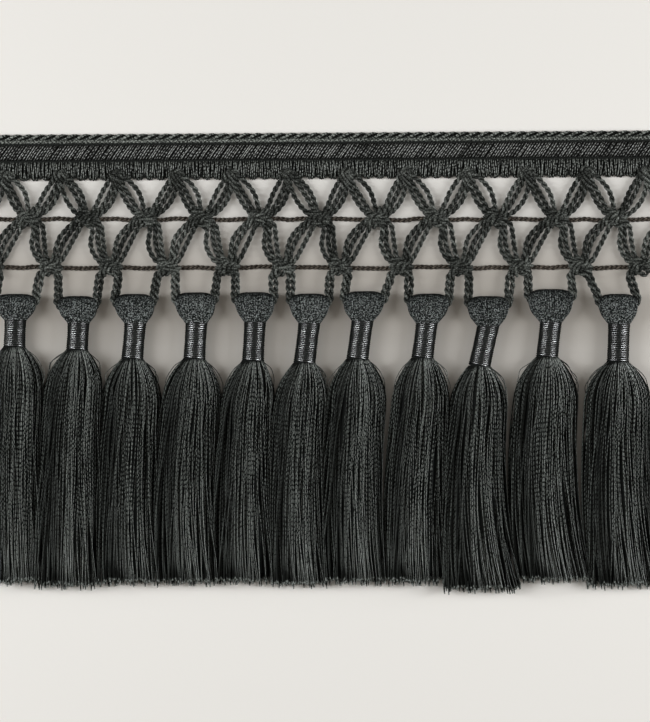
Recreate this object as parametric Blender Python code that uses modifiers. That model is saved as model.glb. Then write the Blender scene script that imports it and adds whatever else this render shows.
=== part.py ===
"""Tassel fringe trim: a woven heading, a knotted netting on two row cords, and eleven tassels.

The trim lies face up on a flat surface. X runs along it, +Y from the hem up to the heading,
and +Z up from the surface. Lengths in the tables are millimetres, and MM makes them metres.
"""

import math
import random
from collections import namedtuple

import bmesh
import bpy
from mathutils import Vector

MM = 0.001
CLEARANCE = 0.35

HEADING_LENGTH = 237.2
HEADING_TOP = 73.4
HEADING_FOOT = 60.5
HEADING_RISE = 1.6
HEADING_THICKNESS = 2.2
PICOT_PITCH = 3.77
PICOT_DEPTH = 0.8
RIB_SINK = 1.0

UPPER_KNOT_Y = 46.9
LOWER_KNOT_Y = 31.0
KNOT_HALF = (3.3, 3.1, 1.6)
KNOT_RIDGE = 1.14
KNOT_Z = 3.5
HITCH_Y = 62.2
HITCH_HALF = (3.0, 2.4, 0.95)
HITCH_Z = 3.5
ROW_CORD_RADIUS = 0.6
ROW_CORD_Z = 0.95
ROW_CORD_DROP = 0.6
PAIR_HALF = (1.6, 0.8)
LONE_HALF = (0.8, 0.8)
LOOP_HALF = (1.3, 0.85)
STRAND_Z = 2.6

TASSEL_Z = 4.4
CORE_RADIUS = 2.9
BINDING_INNER = 3.4
BINDING_OUTER = 3.9
BINDING_WAIST = 3.7
LOOP_DROP = 2.9
LOCK_GAP = 0.2
LOCK_HALF_HEIGHT = 1.4
LOCK_ROW_STEP = 3.2
SKIRT_INSET = 0.4
SHOULDER_DROP = 4.6
BULGE_DROP = 15.0
HEM_RAGGED = 0.9

# One row for each raised rib of the heading: where it lies across the band, and its section.
Rib = namedtuple("Rib", "name centre half_width crown")
RIBS = (
    Rib("gimp", 68.4, 2.2, 3.3),
    Rib("edge_rib", 71.9, 0.7, 2.6),
)

# One row for each diamond of the netting, left to right: the hitch on the heading, the lower
# knot under it, and the gap that parts the lone strand from the pair in each of its four
# sides. A gap is positive where the lone strand lies to the right of the pair.
Diamond = namedtuple("Diamond", "hitch_x knot_x up_left up_right low_left low_right")
DIAMONDS = (
    Diamond(-104.1, -108.1, 0.6, 2.0, 0.8, 0.6),
    Diamond(-85.8, -88.9, -0.6, -2.0, 0.8, 0.6),
    Diamond(-67.3, -69.2, -0.7, 1.8, -0.8, 0.6),
    Diamond(-47.5, -50.3, 0.3, 1.5, -0.9, 0.6),
    Diamond(-29.6, -30.8, -0.6, 1.5, -1.0, 1.6),
    Diamond(-11.1, -12.6, -0.8, -2.0, 0.7, 1.3),
    Diamond(8.1, 6.2, -0.3, 2.3, -0.6, 0.8),
    Diamond(27.3, 26.1, 0.3, 1.2, 1.0, 0.7),
    Diamond(47.8, 45.7, -1.4, 2.6, 1.0, -0.6),
    Diamond(67.5, 65.2, 1.6, 1.2, 1.4, 0.8),
    Diamond(86.8, 85.0, -0.8, 2.2, 1.0, 1.5),
    Diamond(106.1, 104.3, 1.5, 1.2, 0.6, 0.8),
)
UPPER_KNOTS_X = (-115.3, -96.3, -77.0, -58.1, -39.6, -20.3, -1.0, 17.9, 37.2, 57.0, 76.7, 96.0, 115.3)

# One row for each tassel, left to right: its head, the neck under its binding, and its skirt
# at the bulge and at the hem.
Tassel = namedtuple(
    "Tassel",
    "head_x head_width head_top neck_x neck_top foot_x neck_foot skirt_x skirt_width hem_x hem_width hem_y",
)
TASSELS = (
    Tassel(-100.4, 13.4, 21.9, -100.4, 14.0, -100.7, 4.5, -100.9, 19.0, -102.3, 17.4, -72.5),
    Tassel(-80.1, 12.8, 21.2, -79.7, 13.0, -80.2, 3.5, -81.5, 19.0, -83.3, 20.5, -73.8),
    Tassel(-61.5, 12.9, 21.9, -61.1, 13.0, -62.1, 0.6, -62.4, 18.7, -63.2, 19.0, -72.8),
    Tassel(-41.6, 13.1, 22.4, -41.1, 13.0, -41.8, 0.6, -42.9, 19.0, -44.0, 18.7, -72.8),
    Tassel(-22.1, 12.8, 22.5, -21.9, 13.3, -22.6, -0.1, -24.6, 17.0, -25.5, 17.7, -72.5),
    Tassel(-4.1, 12.8, 22.0, -4.1, 13.0, -5.7, -0.7, -7.2, 17.0, -7.4, 17.4, -73.4),
    Tassel(13.9, 13.4, 22.8, 13.3, 13.7, 11.6, 0.6, 11.5, 18.3, 11.0, 18.7, -72.5),
    Tassel(34.9, 13.4, 22.0, 34.4, 13.0, 32.9, 0.9, 32.3, 18.0, 30.0, 18.7, -72.5),
    Tassel(54.5, 13.4, 21.2, 54.5, 12.0, 51.6, -1.7, 51.1, 18.3, 52.6, 23.9, -75.0),
    Tassel(74.8, 14.7, 23.5, 75.0, 13.3, 73.7, 1.2, 73.2, 20.6, 76.1, 23.3, -72.1),
    Tassel(96.8, 12.8, 21.9, 97.3, 12.7, 96.9, -0.4, 96.9, 21.0, 99.2, 22.9, -73.8),
)

# One row for each ring of a tassel's head, from the fold over the loop down to the neck:
# how far down the head it lies, its half width as a share of the head's, its half thickness.
HeadRing = namedtuple("HeadRing", "down width half_thickness")
HEAD_RINGS = (
    HeadRing(0.00, 0.72, 1.2),
    HeadRing(0.14, 0.97, 2.4),
    HeadRing(0.66, 0.93, 2.8),
    HeadRing(0.94, 0.60, 3.5),
)
RING_POINTS = 10

# One row for each layer of locks in a skirt, from the surface up.
Layer = namedtuple("Layer", "locks spread")
LAYERS = (Layer(4, 1.0), Layer(3, 0.84), Layer(3, 0.74))


def clear_scene():
    for obj in list(bpy.data.objects):
        bpy.data.objects.remove(obj)


def new_collection(name, parent=None):
    made = bpy.data.collections.new(name)
    (parent or bpy.context.scene.collection).children.link(made)
    return made


def yarn_material(name, colour, roughness):
    made = bpy.data.materials.new(name)
    made.use_nodes = True
    shader = made.node_tree.nodes["Principled BSDF"]
    shader.inputs["Base Color"].default_value = (*colour, 1.0)
    shader.inputs["Roughness"].default_value = roughness
    shader.inputs["Metallic"].default_value = 0.0
    return made


def as_tool(obj):
    """Keeps a shape that is joined into or cut from a part out of the render."""
    obj.hide_render = True
    obj.display_type = "WIRE"
    return obj


def heading_rise(x):
    """The heading climbs a little from its left end to its right one."""
    return HEADING_RISE * x / HEADING_LENGTH


def flat_section(name, half_width, half_height):
    """A rectangle that a strand or a lock is swept with, and which is never a part itself."""
    data = bpy.data.curves.new(name, "CURVE")
    spline = data.splines.new("POLY")
    corners = ((1, 1), (-1, 1), (-1, -1), (1, -1))
    spline.points.add(len(corners) - 1)
    for point, (side, up) in zip(spline.points, corners):
        point.co = (side * half_width * MM, up * half_height * MM, 0.0, 1.0)
    spline.use_cyclic_u = True
    obj = bpy.data.objects.new(name, data)
    TOOLS.objects.link(obj)
    return as_tool(obj)


def swept(name, points, section, collection, sizes=None):
    """A closed mesh: the section swept along straight runs between points given in millimetres."""
    data = bpy.data.curves.new(name, "CURVE")
    data.dimensions = "3D"
    data.twist_mode = "Z_UP"
    data.bevel_mode = "OBJECT"
    data.bevel_object = section
    data.use_fill_caps = True
    spline = data.splines.new("POLY")
    spline.points.add(len(points) - 1)
    for index, point in enumerate(points):
        spline.points[index].co = (*(Vector(point) * MM), 1.0)
        spline.points[index].radius = sizes[index] if sizes else 1.0
    curve = bpy.data.objects.new(name + "_route", data)
    TOOLS.objects.link(curve)
    return meshed(name, curve, collection)


def meshed(name, curve, collection):
    """The mesh of a curve object, its caps welded and made one face each, in its place."""
    graph = bpy.context.evaluated_depsgraph_get()
    mesh = bpy.data.meshes.new_from_object(curve.evaluated_get(graph))
    bm = bmesh.new()
    bm.from_mesh(mesh)
    bmesh.ops.remove_doubles(bm, verts=bm.verts, dist=0.01 * MM)
    bmesh.ops.dissolve_limit(bm, angle_limit=0.01, verts=bm.verts, edges=bm.edges)
    bmesh.ops.recalc_face_normals(bm, faces=bm.faces)
    bm.to_mesh(mesh)
    bm.free()
    obj = bpy.data.objects.new(name, mesh)
    obj.matrix_world = curve.matrix_world
    collection.objects.link(obj)
    bpy.data.objects.remove(curve)
    return obj


def join_and_cut(obj, joined, cut=None):
    """Adds the Booleans that fuse a collection of shapes into a part and cut one from it.

    They are added once every shape is made, since each shape made evaluates the scene.
    """
    union = obj.modifiers.new("fused", "BOOLEAN")
    union.operation = "UNION"
    union.operand_type = "COLLECTION"
    union.collection = joined
    union.solver = "EXACT"
    if cut:
        difference = obj.modifiers.new("loop_channel", "BOOLEAN")
        difference.operation = "DIFFERENCE"
        difference.object = cut
        difference.solver = "EXACT"


# The heading


def heading_outline():
    """The scalloped outline of the band, anticlockwise from its lower left corner."""
    count = round(HEADING_LENGTH / PICOT_PITCH)
    step = HEADING_LENGTH / count
    left = -HEADING_LENGTH / 2
    valleys = [left + step * i for i in range(count + 1)]
    peaks = [x + step / 2 for x in valleys[:-1]]
    foot = [(x, HEADING_FOOT + heading_rise(x)) for x in valleys]
    foot += [(x, HEADING_FOOT - PICOT_DEPTH + heading_rise(x)) for x in peaks]
    top = [(x, HEADING_TOP + heading_rise(x)) for x in valleys]
    top += [(x, HEADING_TOP + PICOT_DEPTH + heading_rise(x)) for x in peaks]
    return sorted(foot) + sorted(top, reverse=True)


def build_heading(material):
    data = bpy.data.curves.new("heading_band", "CURVE")
    data.dimensions = "2D"
    data.fill_mode = "BOTH"
    data.extrude = HEADING_THICKNESS / 2 * MM
    outline = heading_outline()
    spline = data.splines.new("POLY")
    spline.points.add(len(outline) - 1)
    for point, (x, y) in zip(spline.points, outline):
        point.co = (x * MM, y * MM, 0.0, 1.0)
    spline.use_cyclic_u = True
    curve = bpy.data.objects.new("heading_band_outline", data)
    curve.location.z = HEADING_THICKNESS / 2 * MM
    TOOLS.objects.link(curve)
    band = meshed("heading", curve, PARTS)
    ribs = new_collection("heading_ribs", TOOLS)
    for rib in RIBS:
        build_rib(rib, ribs)
    band.data.materials.append(material)
    return band, ribs


def build_rib(rib, collection):
    """A crowned rib, lofted from end to end a little inside the band's cut ends."""
    base = HEADING_THICKNESS - RIB_SINK
    shoulder = rib.crown - 0.35 * (rib.crown - HEADING_THICKNESS)
    section = (
        (-rib.half_width, base),
        (-rib.half_width, (HEADING_THICKNESS + shoulder) / 2),
        (-rib.half_width / 2, rib.crown),
        (rib.half_width / 2, rib.crown),
        (rib.half_width, (HEADING_THICKNESS + shoulder) / 2),
        (rib.half_width, base),
    )
    end = HEADING_LENGTH / 2 - CLEARANCE
    rings = []
    for x in (-end, end):
        middle = rib.centre + heading_rise(x)
        rings.append([(x, middle + y, z) for y, z in section])
    as_tool(lofted(rib.name, rings, collection))


def lofted(name, rings, collection):
    """A closed solid through rings of as many points each, given in millimetres."""
    bm = bmesh.new()
    made = [[bm.verts.new(Vector(point) * MM) for point in ring] for ring in rings]
    for first, second in zip(made, made[1:]):
        for i in range(len(first)):
            j = (i + 1) % len(first)
            bm.faces.new((first[i], first[j], second[j], second[i]))
    bm.faces.new(made[0])
    bm.faces.new(made[-1])
    bmesh.ops.recalc_face_normals(bm, faces=bm.faces)
    mesh = bpy.data.meshes.new(name)
    bm.to_mesh(mesh)
    bm.free()
    obj = bpy.data.objects.new(name, mesh)
    collection.objects.link(obj)
    return obj


# The netting


def knot(name, centre, half, collection):
    """A flat ball with every second meridian raised, as the strands that cross in a knot."""
    bm = bmesh.new()
    bmesh.ops.create_uvsphere(bm, u_segments=6, v_segments=4, radius=1.0)
    for vert in bm.verts:
        turn = round(math.atan2(vert.co.y, vert.co.x) / (math.pi / 3))
        ridge = KNOT_RIDGE if turn % 2 else 1.0
        vert.co.x *= half[0] * ridge * MM
        vert.co.y *= half[1] * ridge * MM
        vert.co.z *= half[2] * MM
    mesh = bpy.data.meshes.new(name)
    bm.to_mesh(mesh)
    bm.free()
    obj = bpy.data.objects.new(name, mesh)
    obj.location = Vector(centre) * MM
    collection.objects.link(obj)
    return obj


def petal(start, end, offset, lift):
    """Points from start to end that bow sideways by offset, at the height lift between."""
    start, end = Vector(start), Vector(end)
    along = end - start
    side = Vector((-along.y, along.x, 0.0)).normalized()
    points = []
    for share in (0.0, 0.5, 1.0):
        bow = math.sin(math.pi * share)
        point = start + along * share + side * offset * bow
        point.z += (lift - point.z) * bow
        points.append(point)
    return points


def build_bundle(name, start, end, gap, collection):
    """A pair of strands side by side and a lone one beside them, parted by the gap."""
    apart = PAIR_HALF[0] + LONE_HALF[0] + abs(gap)
    # Every bundle runs downwards, so a positive offset is to the right of the run.
    toward = 1 if gap > 0 else -1
    pair = petal(start, end, -toward * apart / 3, STRAND_Z)
    lone = petal(start, end, toward * apart * 2 / 3, STRAND_Z + 0.3)
    swept(name + "_pair", pair, PAIR_SECTION, collection)
    swept(name + "_lone", lone, LONE_SECTION, collection)


def loop_route(index):
    """The loop that a tassel hangs on: from one lower knot, through the head, to the next."""
    tassel = TASSELS[index]
    drop = tassel.head_top - LOOP_DROP
    half = tassel.head_width / 2
    sides = []
    for side, diamond in ((-1, DIAMONDS[index]), (1, DIAMONDS[index + 1])):
        edge = tassel.head_x + side * half
        sides.append(
            (
                (diamond.knot_x, LOWER_KNOT_Y, KNOT_Z),
                (edge + side * 1.5, drop + 2.2, TASSEL_Z - 0.3),
                (edge + side * 0.6, drop + 0.3, TASSEL_Z),
                (edge - side * 1.8, drop, TASSEL_Z),
            )
        )
    left, right = sides
    return [*left, *reversed(right)]


def build_netting(material):
    shapes = new_collection("netting_shapes", TOOLS)
    first, *others = UPPER_KNOTS_X
    netting = knot("netting", (first, UPPER_KNOT_Y, KNOT_Z), KNOT_HALF, PARTS)
    for index, x in enumerate(others, 1):
        knot(f"upper_knot_{index}", (x, UPPER_KNOT_Y, KNOT_Z), KNOT_HALF, shapes)
    for index, diamond in enumerate(DIAMONDS):
        hitch = (diamond.hitch_x, HITCH_Y + heading_rise(diamond.hitch_x), HITCH_Z)
        lower = (diamond.knot_x, LOWER_KNOT_Y, KNOT_Z)
        left = (UPPER_KNOTS_X[index], UPPER_KNOT_Y, KNOT_Z)
        right = (UPPER_KNOTS_X[index + 1], UPPER_KNOT_Y, KNOT_Z)
        knot(f"hitch_{index}", hitch, HITCH_HALF, shapes)
        knot(f"lower_knot_{index}", lower, KNOT_HALF, shapes)
        build_bundle(f"up_left_{index}", hitch, left, diamond.up_left, shapes)
        build_bundle(f"up_right_{index}", hitch, right, diamond.up_right, shapes)
        build_bundle(f"low_left_{index}", left, lower, diamond.low_left, shapes)
        build_bundle(f"low_right_{index}", right, lower, diamond.low_right, shapes)
    for index in range(len(TASSELS)):
        swept(f"loop_{index}", loop_route(index), LOOP_SECTION, shapes)
    for shape in shapes.objects:
        as_tool(shape)
    netting.data.materials.append(material)
    return netting, shapes


def build_row_cord(name, knots_x, knots_y, material):
    """A thin cord that runs behind a row of knots, from the first to the last."""
    data = bpy.data.curves.new(name, "CURVE")
    data.dimensions = "3D"
    data.bevel_depth = ROW_CORD_RADIUS * MM
    data.bevel_resolution = 0
    data.use_fill_caps = True
    spline = data.splines.new("POLY")
    spline.points.add(len(knots_x) - 1)
    for point, x in zip(spline.points, knots_x):
        point.co = (x * MM, (knots_y - ROW_CORD_DROP) * MM, ROW_CORD_Z * MM, 1.0)
    cord = bpy.data.objects.new(name, data)
    cord.data.materials.append(material)
    PARTS.objects.link(cord)


# The tassels


def oval(centre, half_width, half_thickness):
    """A ring of points across a tassel, flatter at its sides than an ellipse."""
    points = []
    for i in range(RING_POINTS):
        angle = 2 * math.pi * i / RING_POINTS
        reach = [math.copysign(abs(v) ** 0.9, v) for v in (math.cos(angle), math.sin(angle))]
        points.append(
            (centre[0] + reach[0] * half_width, centre[1], centre[2] + reach[1] * half_thickness)
        )
    return points


def build_head(name, tassel):
    """The fold of yarn over the loop, drawn in to the round core under the binding."""
    height = tassel.head_top - tassel.neck_top
    rings = []
    for ring in HEAD_RINGS:
        x = tassel.head_x + (tassel.neck_x - tassel.head_x) * ring.down
        centre = (x, tassel.head_top - height * ring.down, TASSEL_Z)
        rings.append(oval(centre, ring.width * tassel.head_width / 2, ring.half_thickness))
    neck = (tassel.neck_x, tassel.neck_top + 0.05, TASSEL_Z)
    foot = (tassel.foot_x, tassel.neck_foot - 1.4, TASSEL_Z)
    rings.append(oval(neck, CORE_RADIUS, CORE_RADIUS))
    rings.append(oval(foot, CORE_RADIUS, CORE_RADIUS))
    return lofted(name, rings, PARTS)


def lock_route(tassel, place, layer, ragged):
    """One lock of the skirt, from inside the core out to the bulge and level to the hem."""
    spread = place * LAYERS[layer].spread
    height = LOCK_HALF_HEIGHT + layer * LOCK_ROW_STEP
    bulge = tassel.skirt_width / 2 - SKIRT_INSET - lock_half_width(tassel)
    hem = tassel.hem_width / 2 - SKIRT_INSET - lock_half_width(tassel)
    shoulder = 0.78 * bulge
    lean = (tassel.skirt_x - tassel.foot_x) * SHOULDER_DROP / BULGE_DROP
    up = layer - (len(LAYERS) - 1) / 2
    return (
        (tassel.foot_x + spread * 1.9, tassel.neck_foot - 0.3, TASSEL_Z + up * 1.6),
        (
            tassel.foot_x + lean + spread * shoulder,
            tassel.neck_foot - SHOULDER_DROP,
            TASSEL_Z + up * 2.7,
        ),
        (tassel.skirt_x + spread * bulge, tassel.neck_foot - BULGE_DROP, height),
        (tassel.hem_x + spread * hem, tassel.hem_y + ragged, height),
    )


def lock_half_width(tassel):
    narrow = min(tassel.skirt_width, tassel.hem_width) - 2 * SKIRT_INSET
    return narrow / LAYERS[0].locks / 2 - LOCK_GAP


def build_tassel(index, material):
    tassel = TASSELS[index]
    name = f"tassel_{index + 1:02d}"
    head = build_head(name, tassel)
    locks = new_collection(name + "_locks", TOOLS)
    section = flat_section(name + "_lock_section", lock_half_width(tassel), LOCK_HALF_HEIGHT)
    ragged = random.Random(index)
    for layer, row in enumerate(LAYERS):
        for number in range(row.locks):
            place = 2 * number / (row.locks - 1) - 1
            longest = layer == 0 and number == row.locks // 2
            shorter = 0.0 if longest else ragged.uniform(0.0, HEM_RAGGED)
            route = lock_route(tassel, place, layer, shorter)
            lock = swept(f"{name}_lock_{layer}_{number}", route, section, locks, (0.3, 0.8, 1, 1))
            as_tool(lock)
    channel = swept(name + "_channel", loop_route(index)[1:-1], CHANNEL_SECTION, TOOLS)
    head.data.materials.append(material)
    return head, locks, as_tool(channel)


def build_binding(index, material):
    """The thread whipped round the neck: a turned sleeve, a little narrower at its waist."""
    tassel = TASSELS[index]
    top = Vector((tassel.neck_x, tassel.neck_top - CLEARANCE, TASSEL_Z))
    foot = Vector((tassel.foot_x, tassel.neck_foot, TASSEL_Z))
    axis = top - foot
    half = axis.length / 2 - BINDING_OUTER * abs(axis.x) / axis.length
    profile = (
        (BINDING_INNER, half),
        (BINDING_OUTER, half),
        (BINDING_WAIST, 0.0),
        (BINDING_OUTER, -half),
        (BINDING_INNER, -half),
    )
    bm = bmesh.new()
    points = [bm.verts.new((x * MM, 0.0, z * MM)) for x, z in profile]
    for i in range(len(points)):
        bm.edges.new((points[i], points[(i + 1) % len(points)]))
    mesh = bpy.data.meshes.new(f"binding_{index + 1:02d}")
    bm.to_mesh(mesh)
    bm.free()
    sleeve = bpy.data.objects.new(f"binding_{index + 1:02d}", mesh)
    sleeve.location = (top + foot) / 2 * MM
    sleeve.rotation_mode = "QUATERNION"
    sleeve.rotation_quaternion = axis.to_track_quat("Z", "X")
    screw = sleeve.modifiers.new("whipping", "SCREW")
    screw.steps = 14
    screw.render_steps = 14
    screw.use_merge_vertices = True
    screw.merge_threshold = 0.01 * MM
    sleeve.data.materials.append(material)
    PARTS.objects.link(sleeve)


clear_scene()
PARTS = new_collection("fringe_trim")
TOOLS = new_collection("fringe_trim_tools")
PAIR_SECTION = flat_section("pair_section", *PAIR_HALF)
LONE_SECTION = flat_section("lone_section", *LONE_HALF)
LOOP_SECTION = flat_section("loop_section", *LOOP_HALF)
CHANNEL_SECTION = flat_section("channel_section", *(half + CLEARANCE for half in LOOP_HALF))

HEADING_YARN = yarn_material("heading_yarn", (0.045, 0.055, 0.050), 0.7)
NETTING_YARN = yarn_material("netting_yarn", (0.042, 0.052, 0.047), 0.7)
ROW_YARN = yarn_material("row_cord_yarn", (0.030, 0.024, 0.019), 0.8)
TASSEL_YARN = yarn_material("tassel_yarn", (0.040, 0.050, 0.046), 0.6)
BINDING_YARN = yarn_material("binding_yarn", (0.035, 0.045, 0.040), 0.35)

fused = [build_heading(HEADING_YARN), build_netting(NETTING_YARN)]
build_row_cord("upper_row_cord", UPPER_KNOTS_X, UPPER_KNOT_Y, ROW_YARN)
build_row_cord("lower_row_cord", [d.knot_x for d in DIAMONDS], LOWER_KNOT_Y, ROW_YARN)
for number in range(len(TASSELS)):
    fused.append(build_tassel(number, TASSEL_YARN))
    build_binding(number, BINDING_YARN)
for shapes in fused:
    join_and_cut(*shapes)
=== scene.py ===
"""The looks of the tassel fringe trim: every yarn of its heading, netting, heads and skirts.

Lengths in the tables and in the routes are millimetres, and MM makes them metres.
"""

import math
import random
from collections import namedtuple

import bmesh
import bpy
from mathutils import Matrix, Vector


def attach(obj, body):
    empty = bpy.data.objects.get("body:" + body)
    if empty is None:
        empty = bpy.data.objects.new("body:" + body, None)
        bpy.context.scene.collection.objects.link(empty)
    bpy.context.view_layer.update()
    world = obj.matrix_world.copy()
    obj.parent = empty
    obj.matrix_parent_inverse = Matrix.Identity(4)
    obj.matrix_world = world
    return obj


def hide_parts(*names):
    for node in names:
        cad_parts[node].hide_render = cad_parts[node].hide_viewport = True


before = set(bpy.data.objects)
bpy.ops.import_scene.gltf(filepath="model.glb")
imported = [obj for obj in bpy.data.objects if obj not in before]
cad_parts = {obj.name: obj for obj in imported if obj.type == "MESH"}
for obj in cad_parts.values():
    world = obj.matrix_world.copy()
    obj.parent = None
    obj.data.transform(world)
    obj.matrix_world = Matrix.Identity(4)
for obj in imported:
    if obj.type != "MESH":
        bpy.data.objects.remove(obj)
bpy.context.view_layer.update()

MM = 0.001
TAU = 2 * math.pi

# The photo's frame on the surface, and the height that its scale holds at.
FRAME_CENTRE = (0.98, -0.08)
FRAME_HEIGHT = 236.5
FRAME_LEVEL = 4.0
LENS = 200.0
SENSOR = 36.0

HEADING_LENGTH = 237.2
HEADING_RISE = 1.6
PICOTS = 63
PICOT_PITCH = HEADING_LENGTH / PICOTS
# The woven band's back, steps and face, as y and z from its foot round to its top.
BAND_SECTION = (
    (60.4, 0.0), (60.4, 1.7), (65.4, 1.7), (66.0, 1.5), (71.2, 1.5), (73.6, 1.4), (73.6, 0.0),
)

UPPER_KNOT_Y = 46.9
LOWER_KNOT_Y = 31.0
HITCH_Y = 61.2
KNOT_Z = 3.5
TASSEL_Z = 4.4
NECK_RADIUS = 3.4

# A skirt opens over SHOULDER_REACH below its neck, and gets SKIRT_SWELL deeper there. Toward
# its hem it flares and thins, and it sinks to the surface that it lies on.
SHOULDER_REACH = 15.0
SHOULDER_ROUNDNESS = 2.3
SKIRT_SWELL = 1.5
HEM_FLARE = 1.4
HEM_THINNING = 0.25
SHOULDER_SINK = 0.5
HEM_SINK = 0.6

# Each diamond of the net hangs from a hitch down to a lower knot. Its last four numbers say how
# wide the gap in each bundle is, and on which side of it the lone strand lies.
Diamond = namedtuple("Diamond", "hitch_x knot_x up_left up_right low_left low_right")
DIAMONDS = (
    Diamond(-104.1, -108.1, 0.6, 2.0, 0.8, 0.6),
    Diamond(-85.8, -88.9, -0.6, -2.0, 0.8, 0.6),
    Diamond(-67.3, -69.2, -0.7, 1.8, -0.8, 0.6),
    Diamond(-47.5, -50.3, 0.3, 1.5, -0.9, 0.6),
    Diamond(-29.6, -30.8, -0.6, 1.5, -1.0, 1.6),
    Diamond(-11.1, -12.6, -0.8, -2.0, 0.7, 1.3),
    Diamond(8.1, 6.2, -0.3, 2.3, -0.6, 0.8),
    Diamond(27.3, 26.1, 0.3, 1.2, 1.0, 0.7),
    Diamond(47.8, 45.7, -1.4, 2.6, 1.0, -0.6),
    Diamond(67.5, 65.2, 1.6, 1.2, 1.4, 0.8),
    Diamond(86.8, 85.0, -0.8, 2.2, 1.0, 1.5),
    Diamond(106.1, 104.3, 1.5, 1.2, 0.6, 0.8),
)
UPPER_KNOTS_X = (
    -115.3, -96.3, -77.0, -58.1, -39.6, -20.3, -1.0, 17.9, 37.2, 57.0, 76.7, 96.0, 115.3,
)

# How far each bundle bows to the right, at five spots from its top to its foot, and how far its
# strands have opened there.
BOWS = {
    "up_left": (0.0, 0.7, 1.8, 2.1, 0.9),
    "up_right": (0.1, 0.4, 0.2, -0.4, -0.6),
    "low_left": (1.1, 1.6, -0.7, -1.7, -0.9),
    "low_right": (-0.9, -1.7, -1.6, 0.0, 0.7),
}
BUNDLE_SHARES = (0.0, 0.2, 0.5, 0.8, 1.0)
BUNDLE_OPENINGS = (0.2, 0.7, 1.0, 0.7, 0.2)
BUNDLE_WIDTH = 2.9
PAIR_OFFSET = 0.95
STRAND_LIFTS = (0.35, -0.2, 0.2)
# Half the width, the rise and the height of each strand's turn over the heading's edge.
HITCH_TURNS = ((1.9, 1.3, 3.2), (1.2, 0.8, 3.5), (0.5, 0.3, 3.8))
# The passes of the strands through a knot, as x and y from its middle, and height.
KNOT_PASSES = (
    ((-3.1, 2.3, 2.9), (-1.3, 1.4, 4.4), (1.2, -0.2, 4.6), (3.0, -1.7, 3.0)),
    ((-3.0, 0.9, 2.9), (-1.2, 0.0, 4.4), (0.9, -1.5, 4.4), (2.0, -2.9, 2.9)),
    ((3.1, 2.2, 2.6), (1.3, 1.0, 3.7), (-1.3, -0.6, 3.7), (-3.0, -2.1, 2.6)),
    ((2.0, 3.0, 2.7), (0.3, 1.9, 3.8), (-2.1, 0.4, 3.6), (-3.4, -0.6, 2.6)),
    ((3.3, -0.3, 2.6), (2.2, -1.1, 3.6), (0.0, -2.3, 3.8), (-1.9, -2.9, 2.7)),
    ((-3.6, -0.5, 2.4), (-2.2, 0.5, 4.0), (0.2, 0.7, 5.3), (2.4, 0.1, 4.2), (3.6, -0.6, 2.4)),
)

# Each tassel from its head's fold to its hem. Foot and neck_foot are where its binding ends.
Tassel = namedtuple(
    "Tassel",
    "head_x head_width head_top neck_x neck_top foot_x neck_foot "
    "skirt_x skirt_width mid_x hem_x hem_width hem_y",
)
TASSELS = (
    Tassel(-100.4, 13.4, 21.9, -100.4, 14.0, -100.7, 4.5, -100.9, 19.0, -102.2, -102.1, 18.0, -72.5),
    Tassel(-80.1, 12.8, 21.2, -79.7, 13.0, -80.2, 3.5, -81.5, 19.0, -83.0, -83.3, 20.5, -73.8),
    Tassel(-61.5, 12.9, 21.9, -61.1, 13.0, -62.1, 0.6, -62.4, 18.7, -63.9, -63.2, 19.0, -72.8),
    Tassel(-41.6, 13.1, 22.4, -41.1, 13.0, -41.8, 0.6, -42.9, 19.0, -44.9, -44.0, 18.7, -72.8),
    Tassel(-22.1, 12.8, 22.5, -21.9, 13.3, -22.6, -0.1, -24.6, 17.0, -26.0, -25.5, 17.7, -72.5),
    Tassel(-4.1, 12.8, 22.0, -4.1, 13.0, -5.7, -0.7, -7.2, 17.0, -8.4, -7.4, 17.4, -73.4),
    Tassel(13.9, 13.4, 22.8, 13.3, 13.7, 11.6, 0.6, 11.5, 18.3, 10.0, 11.0, 18.7, -72.5),
    Tassel(34.9, 13.4, 22.0, 34.4, 13.0, 32.9, 0.9, 32.3, 18.0, 30.0, 30.0, 18.7, -72.5),
    Tassel(54.5, 13.4, 21.2, 54.5, 12.0, 51.6, -1.7, 51.1, 18.3, 50.0, 52.6, 23.9, -75.1),
    Tassel(74.8, 14.7, 23.5, 75.0, 13.3, 73.7, 1.2, 73.2, 20.6, 72.5, 76.1, 23.3, -72.1),
    Tassel(96.8, 12.8, 21.9, 97.3, 12.7, 96.9, -0.4, 96.9, 21.0, 96.6, 99.2, 22.9, -73.8),
)

# The core's rings in a head: how far up it, and their half width and depth.
HEAD_CORE = ((0.93, 0.80, 0.8), (0.8, 0.86, 1.6), (0.5, 0.80, 2.1), (0.2, 0.62, 2.6))
CORE_DROPS = (1.5, 4.0, 8.0, 14.0, 25.0, 40.0, 55.0)
STRAYS_EACH = 3


def rise(x):
    """The heading climbs a little from its left end to its right one."""
    return HEADING_RISE * x / HEADING_LENGTH


# Node trees written as calls and arithmetic


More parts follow.
